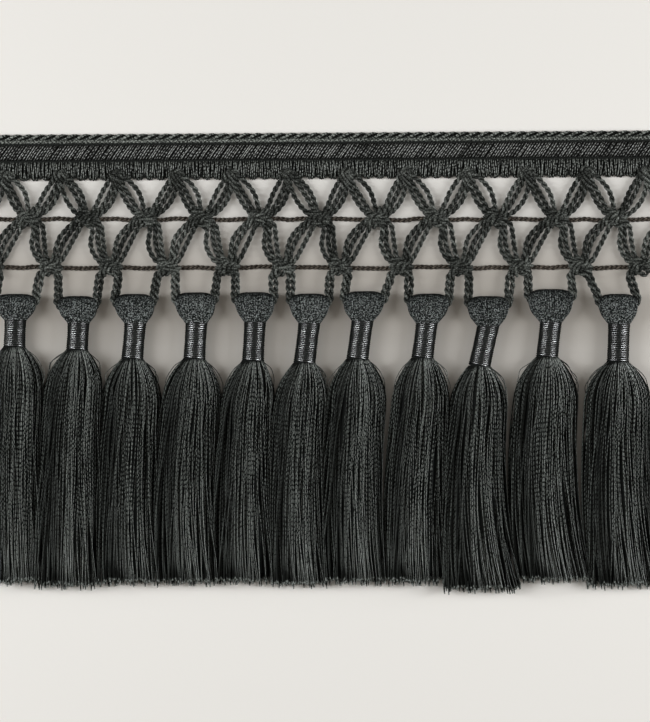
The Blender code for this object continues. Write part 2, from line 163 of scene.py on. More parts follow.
class Value:
    """An output of a node, which arithmetic makes more nodes of."""

    def __init__(self, tree, socket):
        self.tree = tree
        self.socket = socket

    def math(self, operation, *others):
        return self.tree("ShaderNodeMath", self, *others, operation=operation)[0]

    def vector(self, operation, *others):
        return self.tree("ShaderNodeVectorMath", self, *others, operation=operation)[0]

    def __add__(self, other):
        return self.math("ADD", other)

    def __sub__(self, other):
        return self.math("SUBTRACT", other)

    def __mul__(self, other):
        return self.math("MULTIPLY", other)

    def __truediv__(self, other):
        return self.math("DIVIDE", other)

    def __pow__(self, other):
        return self.math("POWER", other)

    def __radd__(self, other):
        return self + other

    def __rmul__(self, other):
        return self * other

    def __rsub__(self, other):
        return self.tree("ShaderNodeMath", other, self, operation="SUBTRACT")[0]

    def sin(self):
        return self.math("SINE")

    def cos(self):
        return self.math("COSINE")

    def size(self):
        return self.math("ABSOLUTE")

    def sign(self):
        return self.math("SIGN")

    def least(self, other):
        return self.math("MINIMUM", other)

    def most(self, other):
        return self.math("MAXIMUM", other)

    def clamped(self):
        """The value, kept from 0 to 1."""
        return self.most(0.0).least(1.0)


class Tree:
    """A node tree. A call makes a node and gives its outputs, as Values, in order."""

    def __init__(self, nodes):
        self.nodes = nodes

    def __call__(self, kind, *values, named=None, **settings):
        node = self.nodes.nodes.new(kind)
        for name, setting in settings.items():
            setattr(node, name, setting)
        fed = list(zip([s for s in node.inputs if s.enabled], values))
        fed += [(node.inputs[name], value) for name, value in (named or {}).items()]
        for socket, value in fed:
            if isinstance(value, Value):
                self.nodes.links.new(value.socket, socket)
            elif value is not None:
                socket.default_value = value
        return [Value(self, socket) for socket in node.outputs if socket.enabled]

    def link(self, value, node, name):
        """Feeds a value to an input of a node that is already there."""
        self.nodes.links.new(value.socket, node.inputs[name])


class YarnTree(Tree):
    """A Geometry Nodes tree that ends in yarns, with its sizes as named inputs."""

    def __init__(self, name, **sizes):
        super().__init__(bpy.data.node_groups.new(name, "GeometryNodeTree"))
        face = self.nodes.interface
        face.new_socket("Geometry", in_out="OUTPUT", socket_type="NodeSocketGeometry")
        face.new_socket("guides", in_out="INPUT", socket_type="NodeSocketGeometry")
        for size, default in sizes.items():
            kind = "NodeSocketInt" if isinstance(default, int) else "NodeSocketFloat"
            face.new_socket(size, in_out="INPUT", socket_type=kind).default_value = default
        face.new_socket("material", in_out="INPUT", socket_type="NodeSocketMaterial")
        self.start = self.nodes.nodes.new("NodeGroupInput")

    def size(self, name):
        return Value(self, self.start.outputs[name])

    def chance(self, each, number):
        """A random number from 0 to 1 for each yarn."""
        seed = self.size("seed") + float(number)
        return self("FunctionNodeRandomValue", 0.0, 1.0, each, seed, data_type="FLOAT")[0]

    def copies(self, points, count):
        """As many straight yarns of some points each, and the number of each yarn."""
        line = self("GeometryNodeCurvePrimitiveLine", (0, 0, 0), (0, -MM, 0))[0]
        line = self("GeometryNodeResampleCurve", line, None, points, mode="COUNT")[0]
        return self("GeometryNodeDuplicateElements", line, None, count, domain="SPLINE")

    def place(self, curves, x, y, z, axis):
        """Moves the points of the yarns, and keeps the spot that each point is seen round, from
        which the materials measure their painted shade.
        """
        axis = self("ShaderNodeCombineXYZ", *axis)[0]
        curves = self.keep(curves, "axis", axis, kind="FLOAT_VECTOR")
        spot = self("ShaderNodeCombineXYZ", x, y, z)[0]
        return self("GeometryNodeSetPosition", curves, None, spot)[0]

    def keep(self, geometry, name, value, domain="POINT", kind="FLOAT"):
        """Keeps a value on the yarns, for their material to read."""
        return self(
            "GeometryNodeStoreNamedAttribute", geometry, None, name, value,
            data_type=kind, domain=domain,
        )[0]

    def spin(self, curves, sides, radius):
        """Gives the curves their thickness, keeps how far they face outward and ends the tree."""
        factor, length, _ = self("GeometryNodeSplineParameter")
        number = self("GeometryNodeInputIndex")[0]
        curves = self.keep(curves, "strand", self.chance(number, 90), domain="CURVE")
        curves = self.keep(curves, "along", length)
        curves = self.keep(curves, "share", factor)
        profile = self("GeometryNodeCurvePrimitiveCircle", sides, radius, mode="RADIUS")[0]
        turn = self("ShaderNodeCombineXYZ", (factor * TAU).cos(), (factor * TAU).sin(), 0.0)[0]
        profile = self.keep(profile, "turn", turn, kind="FLOAT_VECTOR")
        mesh = self("GeometryNodeCurveToMesh", curves, profile, named={"Fill Caps": True})[0]
        # How far the surface faces out from its axis: the materials paint shade where it faces
        # inward.
        axis = self("GeometryNodeInputNamedAttribute", "axis", data_type="FLOAT_VECTOR")[0]
        outward = self("GeometryNodeInputPosition")[0].vector("SUBTRACT", axis).vector("NORMALIZE")
        facing = outward.vector("DOT_PRODUCT", self("GeometryNodeInputNormal")[0])
        mesh = self.keep(mesh, "facing", facing)
        mesh = self("GeometryNodeSetShadeSmooth", mesh)[0]
        mesh = self("GeometryNodeRealizeInstances", mesh)[0]
        mesh = self("GeometryNodeSetMaterial", mesh, None, self.size("material"))[0]
        self("NodeGroupOutput", mesh)
        return self


def cord_tree():
    """Lays plies round each guide, as a cord is twisted."""
    t = YarnTree("twisted_cord", plies=3, pitch=3.8, lay=0.5, ply=0.44, step=0.45, sides=4, seed=0)
    curves = t("GeometryNodeCurveSplineType", t.size("guides"), spline_type="CATMULL_ROM")[0]
    curves = t("GeometryNodeResampleCurve", curves, None, t.size("step") * MM, mode="LENGTH")[0]
    curves = t("GeometryNodeSetCurveNormal", curves, mode="Z_UP")[0]
    number = t("GeometryNodeInputIndex")[0]
    curves = t.keep(curves, "start", t.chance(number, 1), domain="CURVE")
    start = t("GeometryNodeInputNamedAttribute", "start", data_type="FLOAT")[0]
    curves, ply = t("GeometryNodeDuplicateElements", curves, None, t.size("plies"), domain="SPLINE")
    _, length, _ = t("GeometryNodeSplineParameter")
    normal = t("GeometryNodeInputNormal")[0]
    side = t("GeometryNodeInputTangent")[0].vector("CROSS_PRODUCT", normal)
    angle = (ply / t.size("plies") + start + length / (t.size("pitch") * MM)) * TAU
    reach = t.size("lay") * MM * t("GeometryNodeInputRadius")[0]
    offset = normal.vector("SCALE", angle.cos() * reach).vector(
        "ADD", side.vector("SCALE", angle.sin() * reach)
    )
    curves = t.keep(curves, "axis", t("GeometryNodeInputPosition")[0], kind="FLOAT_VECTOR")
    curves = t("GeometryNodeSetPosition", curves, None, None, offset)[0]
    return t.spin(curves, t.size("sides"), t.size("ply") * MM)


def skirt_tree():
    """The cut yarns of a tassel, from its neck out to the bulge and down to the hem."""
    t = YarnTree(
        "tassel_skirt",
        threads=260, points=16, length=75.0, neck=3.4, bulge=9.0, hem=9.5, bulge_x=0.0, bow=0.0,
        hem_x=0.0, depth=4.9, level=TASSEL_Z, thread=0.3, cross=0.2, seed=0,
    )
    curves, each = t.copies(t.size("points"), t.size("threads"))
    factor = t("GeometryNodeSplineParameter")[0]
    cut = t.chance(each, 1)
    length = t.size("length") * (0.982 + 0.018 * cut + 0.02 * cut ** 14.0)
    drop = length * factor ** 1.5
    opened = (drop / SHOULDER_REACH).least(1.0)
    fallen = ((drop - SHOULDER_REACH) / (length - SHOULDER_REACH)).most(0.0)
    swell = 1.0 - (1.0 - opened) ** SHOULDER_ROUNDNESS
    width = t.size("neck") + (t.size("bulge") - t.size("neck")) * swell
    width = width + (t.size("hem") - t.size("bulge")) * fallen ** HEM_FLARE
    middle = t.size("bulge_x") * opened + (t.size("hem_x") - t.size("bulge_x")) * fallen
    middle = middle + t.size("bow") * 4.0 * fallen * (1.0 - fallen)
    out = 1.0 - 0.6 * t.chance(each, 2) ** 2.0
    angle = t.chance(each, 3) * TAU
    lean = t.chance(each, 4) - 0.5
    stray = lean * t.size("cross") * factor + (t.chance(each, 8) - 0.5) * 0.22 * factor ** 7.0
    stray = stray + lean ** 3.0 * 4.5 * factor ** 1.6
    wave = (factor * (8.0 + 6.0 * t.chance(each, 9)) + t.chance(each, 5) * TAU).sin() * 0.03
    across = angle.cos() * out + stray + wave * factor.least(0.5) * 2.0
    x = middle + width * across.most(-1.04).least(1.04)
    half = t.size("neck") + (t.size("depth") - t.size("neck")) * swell
    half = half * (1.0 - HEM_THINNING * fallen)
    rest = t.size("thread") + 0.5 * t.chance(each, 6)
    z = t.size("level") - SHOULDER_SINK * swell - HEM_SINK * fallen + half * angle.sin() * out
    z = z.most(rest)
    axis = ((x * 0.75 + middle * 0.25) * MM, drop * -MM, (z * 0.2 + t.size("level") * 0.8) * MM)
    curves = t.place(curves, x * MM, drop * -MM, z * MM, axis)
    thick = 0.8 + 0.4 * t.chance(each, 7)
    curves = t("GeometryNodeSetCurveRadius", curves, None, thick)[0]
    return t.spin(curves, 3, t.size("thread") * MM)


def head_tree():
    """The yarns of a tassel's head: up its face, over the fold and down its back."""
    t = YarnTree(
        "tassel_head",
        threads=46, points=21, height=9.0, width=6.5, neck=3.5, top_x=0.0, depth=2.9,
        thread=0.24, seed=0,
    )
    curves, each = t.copies(t.size("points"), t.size("threads"))
    factor = t("GeometryNodeSplineParameter")[0]
    even = (each + 0.2 + 0.6 * t.chance(each, 1)) / t.size("threads")
    place = even * 2.0 - 1.0
    turn = factor * (TAU / 2)
    up = turn.sin().most(0.0) ** 0.6
    corner = 1.0 - 0.14 * place ** 4.0
    y = t.size("height") * up * corner
    swell = 1.0 - (1.0 - up) ** 2.7
    spread = t.size("neck") + (t.size("width") - t.size("neck")) * swell
    spread = spread * (1.0 - 0.05 * up ** 8.0)
    x = t.size("top_x") * up + spread * place
    face = turn.cos()
    belly = t.size("neck") + (t.size("depth") - t.size("neck")) * up
    rim = (1.0 - place ** 2.0 * (0.96 - 0.5 * up)) ** 0.5
    jitter = 1.0 + 0.08 * (t.chance(each, 2) - 0.5)
    z = face.sign() * face.size() ** 0.7 * belly * rim * jitter
    # The painted shade is measured from an axis at least 0.4 of the height up, so the head's lower
    # face counts as facing outward and down, and takes less of it.
    inner = y.most(t.size("height") * 0.4)
    curves = t.place(curves, x * MM, y * MM, z * MM, (x * (0.7 * MM), inner * MM, 0.0))
    return t.spin(curves, 4, t.size("thread") * MM)


def whipping_tree():
    """Thread wound close round a neck that stands along Z."""
    t = YarnTree(
        "neck_whipping", turns=30.0, points=20, radius=3.5, height=13.0, thread=0.25, seed=0
    )
    height = t.size("height") * MM
    curve = t(
        "GeometryNodeCurveSpiral", t.size("points"), t.size("turns"), t.size("radius") * MM,
        t.size("radius") * MM, height,
    )[0]
    factor = t("GeometryNodeSplineParameter")[0]
    spot = t("GeometryNodeInputPosition")[0]
    x, y, z = t("ShaderNodeSeparateXYZ", spot)
    lift = factor * t.size("turns") * TAU
    waist = 1.0 - 0.035 * (factor * (TAU / 2)).sin() + 0.006 * (lift * 0.37).sin()
    z = z - height * 0.5
    curve = t.place(curve, x * waist, y * waist, z, (0.0, 0.0, z))
    return t.spin(curve, 4, t.size("thread") * MM)


def float_tree():
    """Yarns that cross a band of the heading side by side, from its foot to its top."""
    t = YarnTree(
        "heading_floats",
        threads=365, points=8, reach=237.0, foot=60.5, top=65.3, slant=0.0, base=0.5, crown=2.2,
        fullness=0.4, scallop=0.8, braid=0.0, wobble=0.0, thread=0.4, bead=0.2, bead_pitch=0.9,
        seed=0,
    )
    curves, each = t.copies(t.size("points"), t.size("threads"))
    factor, length, _ = t("GeometryNodeSplineParameter")
    even = (each + 0.5 + 0.3 * (t.chance(each, 1) - 0.5)) / t.size("threads")
    x = (even - 0.5) * t.size("reach")
    tooth = ((x / PICOT_PITCH + PICOTS / 2 - 0.5) * (TAU / 2)).cos().size() ** 0.7
    foot = t.size("foot") - t.size("scallop") * tooth
    y = foot + (t.size("top") - foot) * factor + x * (HEADING_RISE / HEADING_LENGTH)
    arch = (factor * (TAU / 2)).sin().most(0.0) ** t.size("fullness")
    z = t.size("base") + t.size("crown") * arch * (0.93 + 0.14 * t.chance(each, 2))
    z = z - t.size("braid") * (1.0 - tooth)
    sway = (length / (t.size("bead_pitch") * (1.7 * MM)) + t.chance(each, 4)) * TAU
    x = x + t.size("slant") * (factor - 0.5) + t.size("wobble") * sway.sin()
    end = HEADING_LENGTH / 2 - 0.4
    x = x.most(-end).least(end)
    centre = (t.size("foot") + t.size("top")) * (0.5 * MM)
    centre = centre + x * (MM * HEADING_RISE / HEADING_LENGTH)
    curves = t.place(curves, x * MM, y * MM, z * MM, (x * MM, centre, -2.0 * MM))
    beat = (length / (t.size("bead_pitch") * MM) + t.chance(each, 3)) * TAU
    curves = t("GeometryNodeSetCurveRadius", curves, None, 1.0 + t.size("bead") * beat.sin())[0]
    return t.spin(curves, 4, t.size("thread") * MM)


def grown(name, carrier, tree, material, slot, **sizes):
    """The plain mesh that a tree makes of its carrier, as a piece of the trim."""
    modifier = carrier.modifiers.new("yarns", "NODES")
    modifier.node_group = tree.nodes
    sizes["material"] = material
    for item in tree.nodes.interface.items_tree:
        if item.in_out == "INPUT" and item.name in sizes:
            modifier[item.identifier] = sizes[item.name]
    graph = bpy.context.evaluated_depsgraph_get()
    mesh = bpy.data.meshes.new_from_object(carrier.evaluated_get(graph))
    bpy.data.objects.remove(carrier)
    return piece(name, mesh)


def piece(name, mesh):
    """An object of a mesh, which rides on the trim."""
    mesh.name = name
    obj = bpy.data.objects.new(name, mesh)
    bpy.context.scene.collection.objects.link(obj)
    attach(obj, "root")
    return obj


def guides(routes):
    """A curve object with a spline for each route, which a tree lays yarns along."""
    data = bpy.data.curves.new("guides", "CURVE")
    data.dimensions = "3D"
    for route in routes:
        spline = data.splines.new("POLY")
        spline.points.add(len(route) - 1)
        for point, spot in zip(spline.points, route):
            point.co = (*(Vector(spot) * MM), 1.0)
    obj = bpy.data.objects.new("guides", data)
    bpy.context.scene.collection.objects.link(obj)
    return obj


def blank():
    """An empty mesh object, for a tree that starts from nothing."""
    obj = bpy.data.objects.new("blank", bpy.data.meshes.new("blank"))
    bpy.context.scene.collection.objects.link(obj)
    return obj


def lofted(rings):
    """A closed mesh through rings of as many points each."""
    bm = bmesh.new()
    made = [[bm.verts.new(Vector(point) * MM) for point in ring] for ring in rings]
    for first, second in zip(made, made[1:]):
        for i in range(len(first)):
            j = (i + 1) % len(first)
            bm.faces.new((first[i], first[j], second[j], second[i]))
    bm.faces.new(made[0])
    bm.faces.new(made[-1])
    bmesh.ops.recalc_face_normals(bm, faces=bm.faces)
    for face in bm.faces:
        face.smooth = True
    mesh = bpy.data.meshes.new("core")
    bm.to_mesh(mesh)
    bm.free()
    return mesh


# Materials

PATCH_SCALE = 90.0
CUT_END_GLOSS = 0.45
# Painted shade on a neck's low sides: the share of its gloss that is left there, and its rise for
# each millimetre up.
LOW_SHINE = 0.12
SHINE_RISE = 0.7


def noise(t, spot, scale, detail=2.0):
    return t("ShaderNodeTexNoise", spot, named={"Scale": scale, "Detail": detail})[0]


def attribute(t, name, output="Fac"):
    """A value that the yarns keep."""
    node = t.nodes.nodes.new("ShaderNodeAttribute")
    node.attribute_name = name
    return Value(t, node.outputs[output])


def new_material(name):
    """A material, its tree, its shader, and the shaded spot in the object."""
    material = bpy.data.materials.new(name)
    material.use_nodes = True
    t = Tree(material.node_tree)
    return material, t, t.nodes.nodes["Principled BSDF"], t("ShaderNodeTexCoord")[3]


def add_bump(t, shader, strength, distance, height):
    """Roughens the shader's surface, by a distance in millimetres."""
    named = {"Strength": strength, "Distance": distance * MM, "Height": height}
    t.link(t("ShaderNodeBump", named=named)[0], shader, "Normal")


def blend(t, shader, share, first, second):
    """Gives the shader a base colour between two, by a share."""
    mixed = t("ShaderNodeMix", None, data_type="RGBA")[0]
    sockets = [socket for socket in mixed.socket.node.inputs if socket.enabled]
    sockets[1].default_value = (*first, 1.0)
    sockets[2].default_value = (*second, 1.0)
    t.nodes.links.new(share.socket, sockets[0])
    t.link(mixed, shader, "Base Color")


def yarn_material(
    name, light, roughness, gloss, pitch, ridges, relief, grain, fine=2500.0, base=0.62,
    uneven=1.0, first=0.0, last=0.0, crown=0.0, shines_from=None, shade=0.03,
):
    """Twisted yarn: specks and ridges with a gloss, and a painted dark shade in its grooves.

    The gloss has the colour light, and gloss is its index of refraction. The dark shader has that
    colour times shade; it gives the dark specks and the painted shade. Pitch is the twist's in
    millimetres, ridges says how much it shows, as painted light on its crests and painted shade in
    its grooves, grain how much the specks show, and fine how small they are. Relief is the height
    of both in millimetres. Base is the gloss that all have, and uneven sets yarns and patches apart.
    First and last brighten a yarn's two ends, and crown its first half, all as painted light. Where
    shines_from is given, the gloss fades below that height in millimetres, as painted shade on the
    low sides.
    """
    material, t, shader, spot = new_material(name)
    along = attribute(t, "along")
    strand = attribute(t, "strand")
    share = attribute(t, "share")
    cosine, sine, _ = t("ShaderNodeSeparateXYZ", attribute(t, "turn", "Vector"))
    phase = (along / (pitch * MM) + strand * 7.0) * TAU
    ridge = cosine * phase.cos() + sine * phase.sin()
    fibre = noise(t, spot, fine)
    patch = noise(t, spot, PATCH_SCALE)
    # The ridge term is painted light on the twist's crests and painted shade in its grooves. The
    # specks and the uneven yarns and patches are the yarn's own tone.
    tone = base + ridges * ridge + grain * (fibre - 0.5)
    tone = tone + uneven * (0.35 * (strand - 0.5) + 0.5 * (patch - 0.5))
    tone = tone + first * (1.0 - share) ** 5.0 + last * share ** 3.0 + crown * (share * TAU).sin()
    # Painted shade: what faces inward, in the grooves between plies and on a thread's flanks, takes
    # the dark shader. The gloss is on what faces outward, and in part on the cut end, a yarn's last
    # hundredth.
    cut_end = (share * 100.0 - 99.0).least(CUT_END_GLOSS)
    unshaded = (attribute(t, "facing") * 2.2 - 1.2).most(0.0).most(cut_end).least(1.0)
    # Painted shade on a binding's low sides: its gloss fades below the given height.
    if shines_from is not None:
        height = t("ShaderNodeSeparateXYZ", spot)[2]
        clear_of_side_shade = (height * (SHINE_RISE / MM) - SHINE_RISE * shines_from).clamped()
        unshaded = unshaded * (LOW_SHINE + (1.0 - LOW_SHINE) * clear_of_side_shade)
    tone = tone.clamped() ** 2.2 * unshaded
    add_bump(t, shader, 0.7, relief, ridge * 0.7 + fibre)
    shader.inputs["Base Color"].default_value = (*light, 1.0)
    shader.inputs["Roughness"].default_value = roughness
    shader.inputs["Sheen Weight"].default_value = 0.05
    shader.inputs["Sheen Roughness"].default_value = 0.4
    shader.inputs["Specular IOR Level"].default_value = 1.0
    shader.inputs["IOR"].default_value = gloss
    # A dark shader without gloss, for the yarn's dark specks and for its painted shade.
    dark_specks_and_shade = t.nodes.nodes.new("ShaderNodeBsdfPrincipled")
    dark_specks_and_shade.inputs["Base Color"].default_value = (*(shade * c for c in light), 1.0)
    dark_specks_and_shade.inputs["Roughness"].default_value = 1.0
    dark_specks_and_shade.inputs["Specular IOR Level"].default_value = 0.0
    shaders = [Value(t, node.outputs["BSDF"]) for node in (dark_specks_and_shade, shader)]
    mixed = t("ShaderNodeMixShader", tone, *shaders)[0]
    t.link(mixed, t.nodes.nodes["Material Output"], "Surface")
    return material


def core_material(name, colour, across, along):
    """What shows between the yarns: packed yarn, painted near black as shade, ribbed along the
    piece.
    """
    material, t, shader, spot = new_material(name)
    grain = t("ShaderNodeMapping", spot, named={"Scale": (across, along, across)})[0]
    rib = noise(t, grain, 1.0, 3.0)
    blend(t, shader, rib, [0.35 * c for c in colour], colour)
    t.link((0.75 + 0.3 * (rib - 0.5)).least(1.0), shader, "Roughness")
    add_bump(t, shader, 0.6, 0.15, rib)
    shader.inputs["Specular IOR Level"].default_value = 0.15
    return material


def floor_material():
    """Pale cloth, with a painted shade beneath the trim's net and tassels."""
    material, t, shader, spot = new_material("pale_cloth")
    add_bump(t, shader, 0.2, 0.1, noise(t, spot, 700.0, 4.0))
    x, y, _ = t("ShaderNodeSeparateXYZ", spot)
    x, y = x / MM, y / MM
    # The painted shade fades out toward the heading, the hem and the ends. It is less at the necks,
    # because the tassels cast their own shade on the cloth there.
    below_heading = ((50.0 - y) / 20.0).clamped()
    above_hem = ((y + 70.0) / 20.0).clamped()
    within_ends = ((122.0 - x.size()) / 12.0).clamped()
    at_necks = ((14.0 - y) / 10.0).clamped()
    painted_shade = below_heading * above_hem * within_ends * (1.0 - 0.4 * at_necks)
    # From the cloth's colour to the painted shade, a little warmer.
    blend(t, shader, painted_shade, (0.795, 0.770, 0.730), (0.500, 0.465, 0.420))
    shader.inputs["Roughness"].default_value = 0.9
    shader.inputs["Specular IOR Level"].default_value = 0.2
    return material


HEADING_YARN = yarn_material(
    "heading_yarn", light=(0.290, 0.312, 0.278), roughness=0.40, gloss=1.6,
    pitch=1.1, ridges=0.3, relief=0.12, grain=3.4, base=0.60,
)
PICOT_YARN = yarn_material(
    "picot_yarn", light=(0.270, 0.290, 0.258), roughness=0.40, gloss=1.6,
    pitch=1.1, ridges=0.3, relief=0.12, grain=3.4, base=0.55,
)
RIB_YARN = yarn_material(
    "rib_yarn", light=(0.300, 0.322, 0.292), roughness=0.40, gloss=1.6,
    pitch=1.2, ridges=0.35, relief=0.12, grain=4.6, fine=1900.0, base=0.78, uneven=0.6,
)
GIMP_YARN = yarn_material(
    "gimp_yarn", light=(0.400, 0.410, 0.385), roughness=0.32, gloss=1.7,
    pitch=1.3, ridges=0.5, relief=0.10, grain=3.4, base=0.66, uneven=1.8,
)
NET_YARN = yarn_material(
    "netting_yarn", light=(0.180, 0.194, 0.172), roughness=0.40, gloss=1.45,
    pitch=0.7, ridges=0.12, relief=0.06, grain=1.2, base=0.58,
)
ROW_YARN = yarn_material(
    "row_cord_yarn", light=(0.200, 0.165, 0.132), roughness=0.50, gloss=1.3,
    pitch=0.7, ridges=0.1, relief=0.06, grain=1.6,
)
# First and last are painted light on a skirt's shoulder and toward its hem.
SKIRT_YARN = yarn_material(
    "tassel_yarn", light=(0.360, 0.394, 0.360), roughness=0.36, gloss=1.55,
    pitch=1.5, ridges=0.75, relief=0.12, grain=4.0, fine=2200.0, base=0.64, uneven=1.3,
    first=0.5, last=1.1,
)
# Crown is painted light high on a head's face, and painted shade on its back.
HEAD_YARN = yarn_material(
    "head_yarn", light=(0.345, 0.380, 0.368), roughness=0.36, gloss=1.5,
    pitch=0.9, ridges=0.3, relief=0.12, grain=8.5, fine=2350.0, base=0.05, crown=0.3,
)
# The binding's gloss fades on its low sides, a painted shade.
BINDING_YARN = yarn_material(
    "binding_yarn", light=(0.012, 0.014, 0.013), roughness=0.27, gloss=2.5,
    pitch=2.4, ridges=0.0, relief=0.02, grain=1.8, base=0.86, uneven=0.6,
    shines_from=TASSEL_Z + 1.7, shade=0.55,
)
# Packed yarn and the band's back are near black, painted as the shade that they lie in.
PACKED_YARN_IN_SHADE = core_material("packed_yarn", (0.010, 0.012, 0.011), 2200.0, 120.0)
BAND_YARN_IN_SHADE = core_material("woven_band", (0.014, 0.016, 0.014), 1800.0, 1400.0)

CORD = cord_tree()
SKIRT = skirt_tree()
HEAD = head_tree()
WHIPPING = whipping_tree()
FLOATS = float_tree()


# The heading


def build_heading():
    """The woven band, its two rows of floats, and its picot and edge cords."""
    steps = 240
    rings = []
    for i in range(steps + 1):
        x = HEADING_LENGTH * (i / steps - 0.5)
        rings.append([(x, y + rise(x), z) for y, z in BAND_SECTION])
    band = piece("heading_band", lofted(rings))
    for polygon in band.data.polygons:
        polygon.use_smooth = False
    band.data.materials.append(BAND_YARN_IN_SHADE)
    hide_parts("heading")
    ribs = grown(
        "heading_ribs", blank(), FLOATS, RIB_YARN, "heading_yarn",
        threads=365, points=16, reach=236.4, foot=61.0, top=65.8, base=0.5, crown=2.2, fullness=0.3,
        scallop=1.2, braid=0.8, wobble=0.2, thread=0.38, bead=0.35, bead_pitch=0.9, seed=4,
    )
    gimp = grown(
        "heading_gimp", blank(), FLOATS, GIMP_YARN, "heading_yarn",
        threads=260, points=11, reach=238.0, foot=66.4, top=71.1, slant=3.3, base=1.5, crown=1.5,
        fullness=0.6, scallop=0.0, braid=0.0, wobble=0.12, thread=0.41, bead=0.15,
        bead_pitch=1.5, seed=9,
    )
    ends = HEADING_LENGTH / 2 - 0.6
    picot = dict(pitch=-2 * PICOT_PITCH, lay=0.54, ply=0.5, step=0.4, sides=8)
    edge = dict(pitch=-2.4, lay=0.28, ply=0.38, step=0.3, sides=5)
    for name, y, z, yarn, sizes in (
        ("picot_edge", 73.9, 1.55, PICOT_YARN, picot),
        ("heading_edge_cord", 72.4, 1.9, HEADING_YARN, edge),
    ):
        route = guides([[(x, y + rise(x), z) for x in (-ends, -40.0, 40.0, ends)]])
        grown(name, route, CORD, yarn, "heading_yarn", plies=2, seed=2, **sizes)


# The netting


def strand_places(gap):
    """Where a bundle's three strands lie across it at its widest, from left to right."""
    apart = BUNDLE_WIDTH + 0.7 * abs(gap)
    toward = 1 if gap > 0 else -1
    pair, lone = -toward * apart / 3, toward * apart * 2 / 3
    return sorted((pair - PAIR_OFFSET, pair + PAIR_OFFSET, lone))


def bundle(start, end, gap, bows):
    """Three routes from start to end, from the left one to the right one."""
    start, end = Vector(start), Vector(end)
    along = end - start
    side = Vector((-along.y, along.x, 0.0)).normalized()
    routes = []
    for place, lift in zip(strand_places(gap), STRAND_LIFTS):
        route = []
        for share, open_to, bow in zip(BUNDLE_SHARES, BUNDLE_OPENINGS, bows):
            spot = start + along * share + side * place * open_to
            spot.x += bow
            spot.z += (1.7 + lift - spot.z) * open_to
            route.append(spot)
        routes.append(route)
    return routes


def build_netting():
    """The strands, knots and loops of the net, and the cords of its two rows."""
    chance = random.Random(11)
    strands, turns, loops = [], [], []
    for index, diamond in enumerate(DIAMONDS):
        hitch_x = diamond.hitch_x
        hitch = (hitch_x, HITCH_Y + rise(hitch_x), 3.4)
        knot = (diamond.knot_x, LOWER_KNOT_Y, KNOT_Z)
        left = (UPPER_KNOTS_X[index], UPPER_KNOT_Y, KNOT_Z)
        right = (UPPER_KNOTS_X[index + 1], UPPER_KNOT_Y, KNOT_Z)
        lefts = bundle(hitch, left, diamond.up_left, BOWS["up_left"])
        rights = bundle(hitch, right, diamond.up_right, BOWS["up_right"])
        for down, back, (half, top, level) in zip(lefts, reversed(rights), HITCH_TURNS):
            bend = [(hitch_x - half, hitch[1] - 0.6, level)]
            for across, up in ((-0.95, 0.5), (-0.4, 0.95), (0.4, 0.95), (0.95, 0.5)):
                bend.append((hitch_x + half * across, hitch[1] + top * up, level + 0.1))
            bend.append((hitch_x + half, hitch[1] - 0.6, level))
            strands.append([*reversed(down[1:]), *bend, *back[1:]])
        strands += bundle(left, knot, diamond.low_left, BOWS["low_left"])
        strands += bundle(right, knot, diamond.low_right, BOWS["low_right"])
    knots = [(x, UPPER_KNOT_Y) for x in UPPER_KNOTS_X]
    knots += [(diamond.knot_x, LOWER_KNOT_Y) for diamond in DIAMONDS]
    for x, y in knots:
        turns += knot_routes(x, y, chance)
    for index in range(len(TASSELS)):
        loops += loop_routes(index, chance)
    cord = dict(plies=2, pitch=-4.3, lay=0.43, ply=0.47, step=0.38, sides=6)
    shown = grown("net_strands", guides(strands), CORD, NET_YARN, "netting_yarn", seed=21, **cord)
    grown("net_knots", guides(turns), CORD, NET_YARN, "netting_yarn", seed=22, **cord)
    grown("net_loops", guides(loops), CORD, NET_YARN, "netting_yarn", seed=23, **cord)
    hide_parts("netting")
    for name, xs, y, node in (
        ("upper_row", UPPER_KNOTS_X, UPPER_KNOT_Y - 0.5, "upper_row_cord"),
        ("lower_row", [spot.knot_x for spot in DIAMONDS], LOWER_KNOT_Y - 0.4, "lower_row_cord"),
    ):
        route = []
        for first, second in zip(xs, xs[1:]):
            route.append((first, y, 1.2))
            for share in (0.3, 0.5, 0.7):
                x = first + (second - first) * share
                route.append((x, y + chance.uniform(-0.3, 0.3), 1.0))
        route.append((xs[-1], y, 1.2))
        row = grown(
            name, guides([route]), CORD, ROW_YARN, "row_cord_yarn",
            plies=2, pitch=-3.2, lay=0.38, ply=0.42, step=0.35, sides=6, seed=31,
        )
        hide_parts(node)


def knot_routes(x, y, chance):
    """The strands that cross and bind in one knot, turned a little from knot to knot."""
    flip = chance.choice((-1, 1))
    turn = math.radians(chance.uniform(-10, 10))
    cosine, sine = math.cos(turn), math.sin(turn)
    routes = []
    for knot_pass in KNOT_PASSES:
        route = []
        for across, up, level in knot_pass:
            across *= flip
            route.append((x + across * cosine - up * sine, y + across * sine + up * cosine, level))
        routes.append(route)
    return routes


